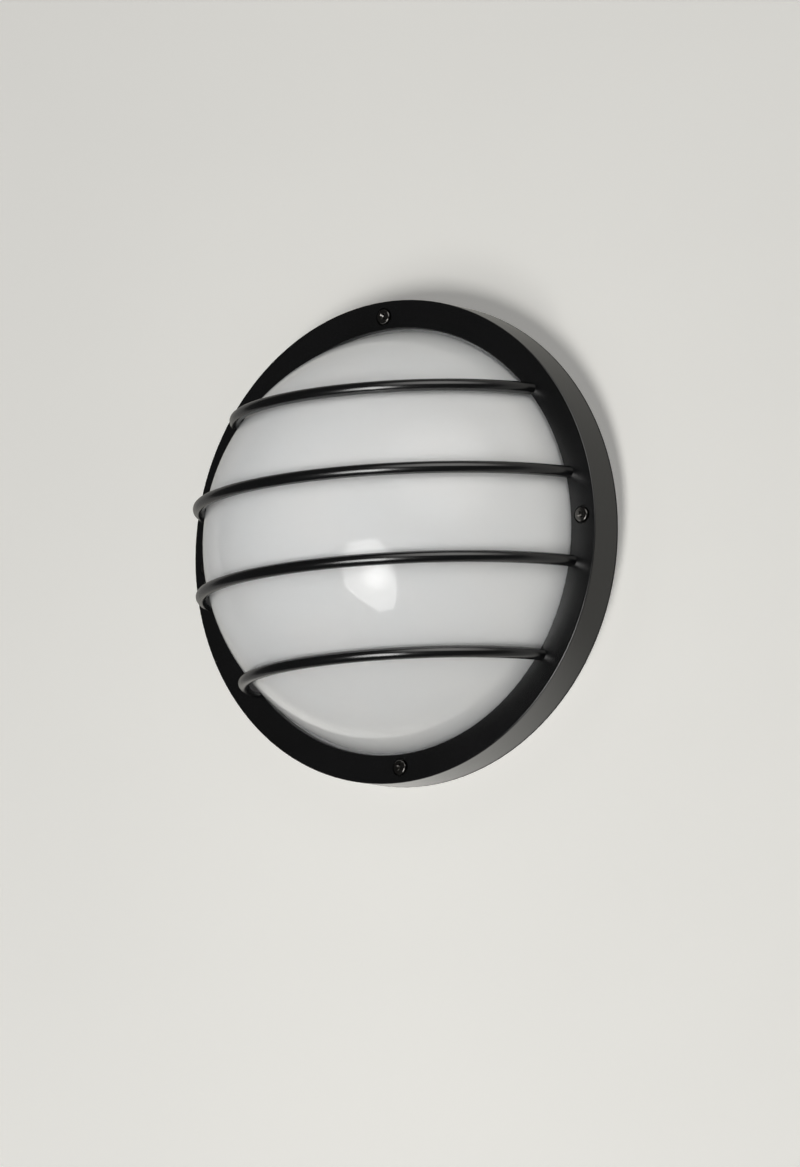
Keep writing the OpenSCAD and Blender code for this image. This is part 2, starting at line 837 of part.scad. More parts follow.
front_ring();
guard_bar(0);  // guard_bar_1
guard_bar(1);  // guard_bar_2
guard_bar(2);  // guard_bar_3
guard_bar(3);  // guard_bar_4
diffuser();
ring_screws();
screw_washers();
wall_seal();
base_pan();
base_wall();
base_lip();
cable_grommet();
diffuser_gasket();
reflector_plate();
reflector_screws();
holder_bracket();
bracket_screws();
lamp_holder();
holder_shell();
holder_contact();
holder_screws();
lamp_bulb();
terminal_block();
terminal_barrels();
terminal_screws();
terminal_fixing_screw();
live_lead();
neutral_lead();
earth_lead();
earth_screw();
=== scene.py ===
"""Round outdoor wall light: four guard bars over an opal dome, on a pale painted wall.

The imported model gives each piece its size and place. This script gives the pieces their finishes, models
the dome and the ring screws in more detail, and sets the wall, the floor, the lamps and the camera.
Lengths are in metres: the wall is the plane y = 0, the light stands out along -y, and +z is up.
"""

import json
import logging
import math
from collections.abc import Sequence
from dataclasses import dataclass
from enum import Enum

import bmesh
import bpy
from mathutils import Matrix, Vector

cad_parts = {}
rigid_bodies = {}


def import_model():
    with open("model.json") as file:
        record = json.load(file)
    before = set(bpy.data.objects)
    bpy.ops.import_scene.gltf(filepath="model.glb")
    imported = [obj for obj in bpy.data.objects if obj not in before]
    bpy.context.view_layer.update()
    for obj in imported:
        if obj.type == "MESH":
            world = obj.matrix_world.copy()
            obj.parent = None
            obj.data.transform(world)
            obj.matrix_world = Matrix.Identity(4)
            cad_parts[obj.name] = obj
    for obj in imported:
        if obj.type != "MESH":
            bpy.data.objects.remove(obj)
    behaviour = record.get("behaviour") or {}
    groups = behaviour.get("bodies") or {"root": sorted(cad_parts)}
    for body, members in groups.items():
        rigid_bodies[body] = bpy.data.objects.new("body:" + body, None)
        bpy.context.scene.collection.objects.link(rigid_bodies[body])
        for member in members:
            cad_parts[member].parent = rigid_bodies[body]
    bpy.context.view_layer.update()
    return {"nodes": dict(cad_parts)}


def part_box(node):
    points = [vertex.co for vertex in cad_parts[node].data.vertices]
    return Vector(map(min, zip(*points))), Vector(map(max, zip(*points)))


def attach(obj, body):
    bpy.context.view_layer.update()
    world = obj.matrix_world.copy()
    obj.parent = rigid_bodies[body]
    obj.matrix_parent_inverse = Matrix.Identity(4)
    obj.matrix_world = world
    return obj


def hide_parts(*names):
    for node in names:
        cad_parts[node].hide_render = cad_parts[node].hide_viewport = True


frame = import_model()

MM = 0.001
SMOOTH_DEG = 35.0
WELD_WITHIN = 1e-6
NO_LENGTH = 1e-7
NOISE_MIDDLE = 0.5
CORNERS = ((1, 1), (-1, 1), (-1, -1), (1, -1))
Colour = tuple[float, float, float]
Place = tuple[float, float, float]
Profile = Sequence[tuple[float, float]]
LOG = logging.getLogger("wall_light")


class Signal:
    """A value in a node tree. Each Python operator on it adds one Math node."""

    def __init__(self, sheet: "NodeSheet", socket: bpy.types.NodeSocket) -> None:
        """Keeps the node tree and the socket that gives the value."""
        self.sheet = sheet
        self.socket = socket

    def _math(self, operation: str, *values: "Signal | float") -> "Signal":
        """Adds a Math node.

        Args:
            operation: The Math node's operation.
            values: Its inputs in order, signals or numbers.

        Returns:
            The node's result.
        """
        node = self.sheet.add("ShaderNodeMath", {"operation": operation}, dict(enumerate(values)))
        return Signal(self.sheet, node.outputs[0])

    def __add__(self, other: "Signal | float") -> "Signal":
        """Returns self + other."""
        return self._math("ADD", self, other)

    __radd__ = __add__

    def __sub__(self, other: "Signal | float") -> "Signal":
        """Returns self - other."""
        return self._math("SUBTRACT", self, other)

    def __rsub__(self, other: float) -> "Signal":
        """Returns other - self."""
        return self._math("SUBTRACT", other, self)

    def __mul__(self, other: "Signal | float") -> "Signal":
        """Returns self * other."""
        return self._math("MULTIPLY", self, other)

    __rmul__ = __mul__

    def __truediv__(self, other: "Signal | float") -> "Signal":
        """Returns self / other."""
        return self._math("DIVIDE", self, other)

    def __pow__(self, other: "Signal | float") -> "Signal":
        """Returns self to the power of other."""
        return self._math("POWER", self, other)

    def at_most(self, other: "Signal | float") -> "Signal":
        """Returns the smaller of the two values."""
        return self._math("MINIMUM", self, other)

    def swing(self, amount: float) -> "Signal":
        """Returns how far a noise lies from its middle, times an amount."""
        return (self - NOISE_MIDDLE) * amount

    def rise(self, low: float, high: float) -> "Signal":
        """Makes a smooth step.

        Args:
            low: Where the step is still 0.
            high: Where the step has reached 1.

        Returns:
            The step as a signal from 0 to 1.
        """
        node = self.sheet.add(
            "ShaderNodeMapRange",
            {"interpolation_type": "SMOOTHSTEP"},
            {"Value": self, "From Min": low, "From Max": high},
        )
        return Signal(self.sheet, node.outputs[0])


class NodeSheet:
    """The node tree of a material or of the world, with one method that adds any node."""

    MIX_FACTOR, MIX_A, MIX_B, MIX_RESULT = 0, 6, 7, 2

    def __init__(self, owner: "bpy.types.Material | bpy.types.World") -> None:
        """Empties the owner's node tree and adds its output node.

        Args:
            owner: The material or the world.
        """
        owner.use_nodes = True
        self.tree = owner.node_tree
        self.tree.nodes.clear()
        is_world = isinstance(owner, bpy.types.World)
        self.output = self.add("ShaderNodeOutputWorld" if is_world else "ShaderNodeOutputMaterial")
        self.place = self.add("ShaderNodeTexCoord").outputs["Object"]

    def add(
        self,
        kind: str,
        settings: dict[str, object] | None = None,
        inputs: dict[str | int, object] | None = None,
    ) -> bpy.types.Node:
        """Adds a node.

        Args:
            kind: The node's type.
            settings: Its properties, such as a Math node's operation, which are set first.
            inputs: A number, colour, signal or socket for each input that is set.

        Returns:
            The node.
        """
        node = self.tree.nodes.new(kind)
        for name, value in (settings or {}).items():
            setattr(node, name, value)
        for name, value in (inputs or {}).items():
            if isinstance(value, Signal):
                value = value.socket
            if isinstance(value, bpy.types.NodeSocket):
                self.tree.links.new(value, node.inputs[name])
            else:
                node.inputs[name].default_value = value
        return node

    def noise(
        self,
        size: float,
        detail: float = 2.0,
        roughness: float = 0.5,
        stretch: Place = (1.0, 1.0, 1.0),
    ) -> Signal:
        """Adds soft noise.

        Args:
            size: About how far apart its blotches are.
            detail: How many finer layers it has.
            roughness: How strong the finer layers are.
            stretch: How many times longer the blotches are along x, y and z.

        Returns:
            The noise, around 0.5.
        """
        scale = tuple(1 / (size * s) for s in stretch)
        mapping = self.add("ShaderNodeMapping", None, {"Vector": self.place, "Scale": scale})
        node = self.add(
            "ShaderNodeTexNoise",
            None,
            {"Vector": mapping.outputs[0], "Scale": 1.0, "Detail": detail, "Roughness": roughness},
        )
        return Signal(self, node.outputs[0])

    def axis(self, name: str) -> Signal:
        """Returns one of the coordinates X, Y and Z of the shaded point."""
        return Signal(self, self.add("ShaderNodeSeparateXYZ", None, {0: self.place}).outputs[name])

    def blend(
        self,
        factor: Signal,
        low: "Colour | bpy.types.NodeSocket",
        high: "Colour | bpy.types.NodeSocket",
    ) -> bpy.types.NodeSocket:
        """Mixes two colours.

        Args:
            factor: 0 for the first colour and 1 for the second.
            low: The first colour, or the socket that gives it.
            high: The second colour, or the socket that gives it.

        Returns:
            The socket that gives the mixed colour.
        """
        first, second = ((*c, 1.0) if isinstance(c, tuple) else c for c in (low, high))
        mix = self.add(
            "ShaderNodeMix",
            {"data_type": "RGBA"},
            {self.MIX_FACTOR: factor, self.MIX_A: first, self.MIX_B: second},
        )
        return mix.outputs[self.MIX_RESULT]

    def mixed(
        self, factor: "Signal | bpy.types.NodeSocket", first: bpy.types.Node, second: bpy.types.Node
    ) -> bpy.types.Node:
        """Adds a Mix Shader node.

        Args:
            factor: 0 for the first shader and 1 for the second.
            first: The first shader's node.
            second: The second shader's node.

        Returns:
            The node.
        """
        return self.add("ShaderNodeMixShader", None, {0: factor, 1: first.outputs[0], 2: second.outputs[0]})

    def show(self, shader: bpy.types.Node) -> None:
        """Shows a shader as the material's surface."""
        self.tree.links.new(shader.outputs[0], self.output.inputs["Surface"])

    def bump(self, height: Signal, depth: float) -> bpy.types.NodeSocket:
        """Adds a bump.

        Args:
            height: The surface's height, where 1 is one depth.
            depth: How many metres a height of 1 is.

        Returns:
            The socket that gives the bumped normal.
        """
        return self.add("ShaderNodeBump", None, {"Height": height, "Distance": depth}).outputs[0]

    def surface(self, **inputs: object) -> bpy.types.Node:
        """Adds the Principled shader and shows it.

        Args:
            inputs: Its inputs by name, with an underscore for each space.

        Returns:
            The shader node.
        """
        named = {name.replace("_", " "): value for name, value in inputs.items()}
        shader = self.add("ShaderNodeBsdfPrincipled", None, named)
        self.show(shader)
        return shader


@dataclass(frozen=True)
class Finish:
    """What all finishes share: a name, and the record's slot that it dresses."""

    name: str
    slot: str

    def material(self) -> bpy.types.Material:
        """Returns the finish's material, made the first time that it is asked for."""
        made = bpy.data.materials.get(self.name)
        if made is None:
            made = bpy.data.materials.new(self.name)
            self.paint(NodeSheet(made))
        return made

    def paint(self, sheet: NodeSheet) -> None:
        """Adds the finish's nodes to its sheet."""
        raise NotImplementedError


@dataclass(frozen=True)
class PowderCoat(Finish):
    """Baked powder on steel: an even colour with the fine orange peel of melted powder."""

    dark: Colour = (0.0014, 0.0016, 0.0019)
    light: Colour = (0.0022, 0.0024, 0.0029)
    sheen: float = 0.22
    haze_sheen: float = 0.08
    grain_sheen: float = 0.06
    ior: float = 1.82
    haze: float = 40 * MM
    peel: float = 1.3 * MM
    grain: float = 0.25 * MM
    grain_share: float = 0.35
    peel_depth: float = 0.006 * MM

    def paint(self, sheet: NodeSheet) -> None:
        """Adds the coat's colour, sheen and peel."""
        peel = sheet.noise(self.peel, detail=1.0)
        grain = sheet.noise(self.grain)
        haze = sheet.noise(self.haze, detail=3.0)
        sheet.surface(
            Base_Color=sheet.blend(haze.rise(low=0.3, high=0.7), self.dark, self.light),
            Roughness=self.sheen + haze.swing(self.haze_sheen) + grain.swing(self.grain_sheen),
            IOR=self.ior,
            Normal=sheet.bump(peel + grain * self.grain_share, self.peel_depth),
        )


@dataclass(frozen=True)
class OpalShell(Finish):
    """Milky moulded plastic with a gloss skin and light that spreads a little below it."""

    cool: Colour = (0.855, 0.875, 0.882)
    warm: Colour = (0.872, 0.88, 0.876)
    gloss: float = 0.08
    cloud_gloss: float = 0.03
    ior: float = 1.49
    spread: float = 5 * MM
    cloud: float = 55 * MM
    ripple: float = 60 * MM
    ripple_depth: float = 0.05 * MM

    def paint(self, sheet: NodeSheet) -> None:
        """Adds the milk, the gloss and the faint flow ripple of the moulding."""
        cloud = sheet.noise(self.cloud)
        ripple = sheet.noise(self.ripple, detail=1.0)
        sheet.surface(
            Base_Color=sheet.blend(cloud.rise(low=0.3, high=0.7), self.cool, self.warm),
            Roughness=self.gloss + cloud.swing(self.cloud_gloss),
            IOR=self.ior,
            Subsurface_Weight=1.0,
            Subsurface_Radius=(1.0, 1.0, 1.0),
            Subsurface_Scale=self.spread,
            Normal=sheet.bump(ripple, self.ripple_depth),
        )


class Metal(Enum):
    """Grain of a bare metal surface: how far its blotches stretch along x, y and z."""

    EVEN = (1.0, 1.0, 1.0)
    ROLLED = (12.0, 1.0, 1.0)


@dataclass(frozen=True)
class BareMetal(Finish):
    """Uncoated metal: cast, plated or rolled, with stains in its colour and sheen."""

    colour: Colour
    stain: Colour
    sheen: float
    grain: float
    depth: float
    kind: Metal = Metal.EVEN
    stain_size: float = 14 * MM
    stain_sheen: float = 0.2
    grain_sheen: float = 0.1

    def paint(self, sheet: NodeSheet) -> None:
        """Adds the metal's colour, grain and stains."""
        grain = sheet.noise(self.grain, detail=3.0, roughness=0.6, stretch=self.kind.value)
        stain = sheet.noise(self.stain_size, detail=4.0, roughness=0.6)
        sheet.surface(
            Base_Color=sheet.blend(stain.rise(low=0.35, high=0.75), self.colour, self.stain),
            Metallic=1.0,
            Roughness=self.sheen + stain.swing(self.stain_sheen) + grain.swing(self.grain_sheen),
            Normal=sheet.bump(grain, self.depth),
        )


@dataclass(frozen=True)
class Soft(Finish):
    """Rubber, silicone or foam: a dull skin with pores or dust."""

    dark: Colour
    light: Colour
    sheen: float
    pore: float
    depth: float
    pore_sheen: float = 0.1
    dust: float = 9 * MM

    def paint(self, sheet: NodeSheet) -> None:
        """Adds the skin's colour and its pores."""
        pores = sheet.noise(self.pore, roughness=0.6)
        dust = sheet.noise(self.dust, detail=4.0)
        sheet.surface(
            Base_Color=sheet.blend(dust.rise(low=0.35, high=0.8), self.dark, self.light),
            Roughness=self.sheen + pores.swing(self.pore_sheen),
            Normal=sheet.bump(pores, self.depth),
        )


@dataclass(frozen=True)
class Gloss(Finish):
    """Enamel, glaze, frosted plastic or nylon: a pale body under a smooth skin."""

    colour: Colour
    shade: Colour
    sheen: float
    coat: float
    wave: float
    depth: float
    milk: float = 0.0
    milk_depth: float = 2 * MM
    coat_sheen: float = 0.08
    cloud: float = 16 * MM
    cloud_sheen: float = 0.06

    def paint(self, sheet: NodeSheet) -> None:
        """Adds the body colour, the skin and its waves."""
        wave = sheet.noise(self.wave, detail=1.0)
        cloud = sheet.noise(self.cloud, detail=3.0)
        sheet.surface(
            Base_Color=sheet.blend(cloud.rise(low=0.35, high=0.75), self.colour, self.shade),
            Roughness=self.sheen + cloud.swing(self.cloud_sheen),
            Coat_Weight=self.coat,
            Coat_Roughness=self.coat_sheen,
            Subsurface_Weight=self.milk,
            Subsurface_Scale=self.milk_depth,
            Normal=sheet.bump(wave, self.depth),
        )


@dataclass(frozen=True)
class Insulation(Finish):
    """Soft insulation of a lead, with a second colour in two stripes where it has one."""

    colour: Colour
    stripe: Colour | None = None
    stripe_size: float = 2.6 * MM
    stripe_stretch: Place = (0.6, 8.0, 0.6)
    shade: float = 0.7
    sheen: float = 0.42
    skin: float = 0.6 * MM
    skin_sheen: float = 0.1
    skin_depth: float = 0.01 * MM

    def paint(self, sheet: NodeSheet) -> None:
        """Adds the insulation's colour, its stripes and its dull skin."""
        skin = sheet.noise(self.skin)
        if self.stripe is None:
            second = tuple(self.shade * c for c in self.colour)
            share = skin.rise(low=0.3, high=0.8)
        else:
            second = self.stripe
            bands = sheet.noise(self.stripe_size, detail=0.0, roughness=0.0, stretch=self.stripe_stretch)
            share = bands.rise(low=0.49, high=0.51)
        sheet.surface(
            Base_Color=sheet.blend(share, self.colour, second),
            Roughness=self.sheen + skin.swing(self.skin_sheen),
            Normal=sheet.bump(skin, self.skin_depth),
        )


BLACK_COAT = PowderCoat("powder_coat_black", "black_coat")
OPAL = OpalShell("opal_moulding", "opal")
DARK_STEEL = BareMetal(
    "screw_steel_dark", "dark_steel", colour=(0.17, 0.164, 0.157), stain=(0.12, 0.116, 0.11),
    sheen=0.17, grain=0.35 * MM, depth=0.004 * MM,
)
WASHER_RUBBER = Soft(
    "washer_rubber", "washer", dark=(0.002, 0.002, 0.002), light=(0.004, 0.004, 0.004),
    sheen=0.3, pore=0.3 * MM, depth=0.01 * MM,
)
SEAL_FOAM = Soft(
    "seal_foam", "seal", dark=(0.014, 0.014, 0.015), light=(0.03, 0.03, 0.03),
    sheen=0.9, pore=0.6 * MM, depth=0.15 * MM,
)
CAST_METAL = BareMetal(
    "base_casting", "cast_base", colour=(0.56, 0.57, 0.58), stain=(0.42, 0.43, 0.44),
    sheen=0.44, grain=0.5 * MM, depth=0.05 * MM,
)
GROMMET_RUBBER = Soft(
    "grommet_rubber", "grommet", dark=(0.01, 0.01, 0.01), light=(0.022, 0.022, 0.022),
    sheen=0.6, pore=0.4 * MM, depth=0.01 * MM,
)
SILICONE = Soft(
    "gasket_silicone", "gasket", dark=(0.24, 0.24, 0.25), light=(0.3, 0.3, 0.31),
    sheen=0.5, pore=0.5 * MM, depth=0.01 * MM,
)
ENAMEL = Gloss(
    "reflector_enamel", "white_enamel", colour=(0.86, 0.86, 0.84), shade=(0.82, 0.82, 0.8),
    sheen=0.3, coat=0.4, wave=1.5 * MM, depth=0.01 * MM,
)
ZINC = BareMetal(
    "zinc_plate", "zinc_steel", colour=(0.62, 0.63, 0.64), stain=(0.48, 0.5, 0.52),
    sheen=0.3, grain=0.4 * MM, depth=0.008 * MM, kind=Metal.ROLLED,
)
GLAZE = Gloss(
    "holder_glaze", "ceramic", colour=(0.82, 0.8, 0.75), shade=(0.74, 0.71, 0.66),
    sheen=0.25, coat=1.0, wave=6 * MM, depth=0.05 * MM,
)
BRASS = BareMetal(
    "contact_brass", "brass", colour=(0.72, 0.5, 0.22), stain=(0.5, 0.32, 0.14),
    sheen=0.28, grain=0.4 * MM, depth=0.006 * MM,
)
LAMP_GLOBE = Gloss(
    "lamp_globe_frost", "lamp", colour=(0.88, 0.88, 0.87), shade=(0.85, 0.85, 0.83),
    sheen=0.42, coat=0.0, wave=5 * MM, depth=0.02 * MM, milk=0.4,
)
NYLON = Gloss(
    "terminal_nylon", "terminal", colour=(0.8, 0.79, 0.76), shade=(0.72, 0.71, 0.68),
    sheen=0.45, coat=0.0, wave=2 * MM, depth=0.02 * MM, milk=0.3,
)
LIVE_SKIN = Insulation("lead_brown_skin", "lead_brown", (0.14, 0.055, 0.025))
NEUTRAL_SKIN = Insulation("lead_blue_skin", "lead_blue", (0.03, 0.13, 0.42))
EARTH_SKIN = Insulation("lead_green_skin", "lead_green", (0.06, 0.3, 0.05), (0.75, 0.6, 0.04))


def dress(node: str, finish: Finish) -> None:
    """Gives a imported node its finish.

    Args:
        node: The node's name.
        finish: The finish for all of its faces.
    """
    piece = frame["nodes"][node]
    if not piece.material_slots:
        piece.data.materials.append(None)
    for slot in piece.material_slots:
        slot.material = finish.material()
    LOG.info("%s, in slot %s, is dressed in %s", node, finish.slot, finish.name)


def revolve(profile: Profile, steps: int) -> bmesh.types.BMesh:
    """Turns a profile about the z axis.

    Args:
        profile: Radius and height of each point, from the middle of one end to the middle of the other.
        steps: How many faces go round.

    Returns:
        The closed mesh.
    """
    form = bmesh.new()
    rows = []
    for radius, height in profile:
        count = steps if radius > 0 else 1
        turn = 2 * math.pi / steps
        rows.append([
            form.verts.new((radius * math.cos(k * turn), radius * math.sin(k * turn), height))
            for k in range(count)
        ])
    for below, above in zip(rows, rows[1:]):
        for k in range(steps):
            corners = [below[k % len(below)], below[(k + 1) % len(below)]]
            corners += [above[(k + 1) % len(above)], above[k % len(above)]]
            # At a point on the axis two corners are one and the same, so the face is a triangle.
            form.faces.new(list(dict.fromkeys(corners)))
    bmesh.ops.recalc_face_normals(form, faces=form.faces)
    return form


def as_object(name: str, form: bmesh.types.BMesh) -> bpy.types.Object:
    """Makes an object of a mesh, smooth except at its edges.

    Args:
        name: The object's name.
        form: The mesh, which is freed.

    Returns:
        The object, linked to the scene.
    """
    mesh = bpy.data.meshes.new(name)
    form.to_mesh(mesh)
    form.free()
    mesh.shade_smooth()
    mesh.set_sharp_from_angle(angle=math.radians(SMOOTH_DEG))
    piece = bpy.data.objects.new(name, mesh)
    bpy.context.scene.collection.objects.link(piece)
    return piece


def cut(body: bmesh.types.BMesh, tool: bmesh.types.BMesh) -> bmesh.types.BMesh:
    """Cuts one mesh out of another.

    Args:
        body: The mesh that stays, freed.
        tool: The mesh that is taken away, freed.

    Returns:
        What is left.
    """
    stay, away = as_object("cut_body", body), as_object("cut_tool", tool)
    modifier = stay.modifiers.new("cut", "BOOLEAN")
    modifier.object = away
    modifier.solver = "EXACT"
    # The wings of a cross recess run through each other.
    modifier.use_self = True
    graph = bpy.context.evaluated_depsgraph_get()
    result = bmesh.new()
    result.from_mesh(stay.evaluated_get(graph).to_mesh())
    for piece in (stay, away):
        bpy.data.objects.remove(piece)
    bmesh.ops.dissolve_degenerate(result, dist=NO_LENGTH, edges=result.edges)
    return result


def merged(parts: Sequence[tuple[bmesh.types.BMesh, Matrix]]) -> bmesh.types.BMesh:
    """Puts several meshes into one.

    Args:
        parts: Each mesh with its place. The same mesh may stand in several places.

    Returns:
        The new mesh. The given ones are kept.
    """
    whole = bmesh.new()
    for form, place in parts:
        holder = bpy.data.meshes.new("part")
        form.to_mesh(holder)
        holder.transform(place)
        whole.from_mesh(holder)
        bpy.data.meshes.remove(holder)
    return whole


@dataclass(frozen=True)
class PanScrew:
    """A pan head screw with a cross recess and a rolled thread. Its seat is at height 0.

    The head's and the recess's shares are parts of the head's radius, or of its height for what goes up
    or down. The thread's rows are one turn's heights over its root, as parts of the thread's depth.
    """

    head_r: float
    head_h: float
    shank_r: float
    length: float
    pitch: float
    steps: int = 48
    round_share: tuple[float, float] = (0.22, 0.35)
    round_steps: int = 5
    crown_share: float = 0.03
    edge_share: float = 0.06
    recess_deep: float = 0.5
    recess_above: float = 0.3
    recess_reach: float = 0.52
    recess_core: float = 0.08
    recess_wide: tuple[float, float] = (0.104, 0.1495)
    thread_rows: tuple[float, ...] = (0.0, 0.35, 1.0, 1.0, 0.35)
    thread_steps: int = 24
    root_share: float = 0.8
    point_share: float = 0.3
    point_turns: float = 1.5

    def head_profile(self) -> Profile:
        """Returns the head's profile: an upright side, a rounded edge and a nearly flat top."""
        round_w, round_h = self.round_share[0] * self.head_r, self.round_share[1] * self.head_h
        crown_h = self.crown_share * self.head_h
        edge = self.edge_share * self.head_r
        angles = [math.pi / 2 * step / self.round_steps for step in range(self.round_steps + 1)]
        rounding = [
            (self.head_r - round_w * (1 - math.cos(a)), self.head_h - crown_h - round_h * (1 - math.sin(a)))
            for a in angles
        ]
        return [(0.0, 0.0), (self.head_r - edge, 0.0), (self.head_r, edge), *rounding, (0.0, self.head_h)]

    def recess(self) -> bmesh.types.BMesh:
        """Returns the tool that cuts the cross recess, whose wings slope down to the middle."""
        deep, above = self.recess_deep * self.head_h, self.recess_above * self.head_h
        reach, core = self.recess_reach * self.head_r, self.recess_core * self.head_r
        wide_low, wide_top = (share * self.head_r for share in self.recess_wide)
        long_top = reach + (reach - core) * above / deep
        blade = bmesh.new()
        bmesh.ops.create_cube(blade, size=2.0)
        for corner in blade.verts:
            top = corner.co.z > 0
            corner.co.x *= long_top if top else core
            corner.co.y *= wide_top if top else wide_low
            corner.co.z = self.head_h + above if top else self.head_h - deep
        cross = merged([(blade, Matrix()), (blade, Matrix.Rotation(math.pi / 2, 4, "Z"))])
        blade.free()
        return cross

    def thread(self) -> bmesh.types.BMesh:
        """Returns the shank with its helical thread, as rows of points that follow the helix."""
        rows_per_turn, around = len(self.thread_rows), self.thread_steps
        root = self.root_share * self.shank_r
        count = int((self.length / self.pitch + 1) * rows_per_turn)
        form = bmesh.new()
        grid = []
        for step in range(around):
            column = []
            for row in range(count + 1):
                height = self.pitch * (step / around + row / rows_per_turn - 1)
                height = min(max(height, 0.0), self.length)
                taper = min(1.0, (self.length - height) / (self.point_turns * self.pitch) + self.point_share)
                crest = self.thread_rows[row % rows_per_turn]
                radius = (root + (self.shank_r - root) * crest) * taper
                turn = 2 * math.pi * step / around
                column.append(form.verts.new((radius * math.cos(turn), radius * math.sin(turn), -height)))
            grid.append(column)
        for step in range(around):
            # The first column lies one turn of rows above the place where the helix comes round.
            after, shift = (step + 1, 0) if step + 1 < around else (0, rows_per_turn)
            for row in range(count - shift):
                corners = (grid[step][row], grid[after][row + shift])
                corners += (grid[after][row + 1 + shift], grid[step][row + 1])
                form.faces.new(corners)
        bmesh.ops.remove_doubles(form, verts=form.verts, dist=WELD_WITHIN)
        bmesh.ops.holes_fill(form, edges=[e for e in form.edges if e.is_boundary])
        bmesh.ops.dissolve_degenerate(form, dist=NO_LENGTH, edges=form.edges)
        bmesh.ops.recalc_face_normals(form, faces=form.faces)
        return form

    def build(self, name: str, seats: Sequence[Matrix]) -> bpy.types.Object:
        """Makes all the screws of one size as one piece.

        Args:
            name: The piece's name.
            seats: Where each screw's seat lies, with its head along the seat's z axis.

        Returns:
            The piece.
        """
        head = cut(revolve(self.head_profile(), self.steps), self.recess())
        shank = self.thread()
        parts = [(form, seat) for seat in seats for form in (head, shank)]
        piece = as_object(name, merged(parts))
        head.free()
        shank.free()
        return piece


def on_wall(across: float, up: float, out: float) -> Matrix:
    """Returns the place of a part that looks out from the wall, whose z axis points away from it."""
    return Matrix.Translation((across, -out, up)) @ Matrix.Rotation(math.pi / 2, 4, "X")


@dataclass(frozen=True)
class GuardRing:
    """The pressed steel ring and the four round bars that are welded to its face."""

    nodes: tuple[str, ...] = ("front_ring", "guard_bar_1", "guard_bar_2", "guard_bar_3", "guard_bar_4")

    def build(self) -> None:
        """Dresses the ring and the bars in one coat."""
        for node in self.nodes:
            dress(node, BLACK_COAT)
            modifier = frame["nodes"][node].modifiers.new("even_shading", "WEIGHTED_NORMAL")
            modifier.keep_sharp = True


@dataclass(frozen=True)
class OpalDome:
    """The moulded dome behind the ring: a shell with a flange that is notched for the screw bosses."""

    outer_r: float = 115.15 * MM
    wall: float = 3 * MM
    setback: float = 2.2 * MM
    flange_r: float = 118.4 * MM
    flange_back: float = 14.8 * MM
    flange_front: float = 17.8 * MM
    edge: float = 0.3 * MM
    notch_r: float = 5 * MM
    notch_at: float = 121.7 * MM
    notch_past: float = 1 * MM
    notch_steps: int = 48
    steps: int = 160
    rows: int = 48

    def arc(self, radius: float, end: float) -> Profile:
        """Returns a sphere's profile from its pole down to a height above the wall."""
        last = math.acos((end + self.setback) / radius)
        angles = [last * row / self.rows for row in range(self.rows + 1)]
        return [(radius * math.sin(a), radius * math.cos(a) - self.setback) for a in angles]

    def profile(self) -> Profile:
        """Returns the profile of the shell and its flange, from the outer pole to the inner one."""
        rim, soft = self.flange_r, self.flange_r - self.edge
        flange = [
            (soft, self.flange_front),
            (rim, self.flange_front - self.edge),
            (rim, self.flange_back + self.edge),
            (soft, self.flange_back),
        ]
        outer = self.arc(self.outer_r, self.flange_front)
        inner = self.arc(self.outer_r - self.wall, self.flange_back)
        return [*outer, *flange, *reversed(inner)]

    def notches(self) -> bmesh.types.BMesh:
        """Returns the tool that cuts the notches in the flange."""
        low, high = self.flange_back - self.notch_past, self.flange_front + self.notch_past
        profile = [(0.0, low), (self.notch_r, low), (self.notch_r, high), (0.0, high)]
        peg = revolve(profile, self.notch_steps)
        turns = [Matrix.Rotation(quarter * math.pi / 2, 4, "Z") for quarter in range(4)]
        whole = merged([(peg, turn @ Matrix.Translation((self.notch_at, 0, 0))) for turn in turns])
        peg.free()
        return whole

    def build(self) -> None:
        """Makes the dome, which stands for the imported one."""
        form = cut(revolve(self.profile(), self.steps), self.notches())
        form.transform(on_wall(0, 0, 0))
        piece = as_object("opal_dome", form)
        piece.data.materials.append(OPAL.material())
        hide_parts("diffuser")
        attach(piece, "root")
        LOG.info("%s stands for the diffuser", piece.name)


@dataclass(frozen=True)
class RingFixings:
    """The screws through the face of the ring, with a sealing washer under each head."""

    screw: PanScrew = PanScrew(
        head_r=4 * MM, head_h=2.4 * MM, shank_r=1.95 * MM, length=12 * MM, pitch=1.4 * MM
    )
    turns_deg: tuple[float, ...] = (20.0, 52.0, 31.0, 67.0)

    def build(self) -> None:
        """Replaces the plain screws by ones with recesses and threads, each turned its own way."""
        low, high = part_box("ring_screws")
        circle_r = high.x - self.screw.head_r
        seat_out = -low.y - self.screw.head_h
        seats = []
        for quarter, turn in enumerate(self.turns_deg):
            angle = quarter * math.pi / 2
            place = on_wall(circle_r * math.cos(angle), circle_r * math.sin(angle), seat_out)
            seats.append(place @ Matrix.Rotation(math.radians(turn), 4, "Z"))
        piece = self.screw.build("ring_screws_cross_head", seats)
        piece.data.materials.append(DARK_STEEL.material())
        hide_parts("ring_screws")
        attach(piece, "root")
        LOG.info("%s stands for the ring screws", piece.name)
        dress("screw_washers", WASHER_RUBBER)


@dataclass(frozen=True)
class BackCasting:
    """The cast base with its seal, grommet and gasket."""

    def build(self) -> None:
        """Dresses the base and what seals it."""
        for node in ("base_pan", "base_wall", "base_lip"):
            dress(node, CAST_METAL)
        dress("wall_seal", SEAL_FOAM)
        dress("cable_grommet", GROMMET_RUBBER)
        dress("diffuser_gasket", SILICONE)


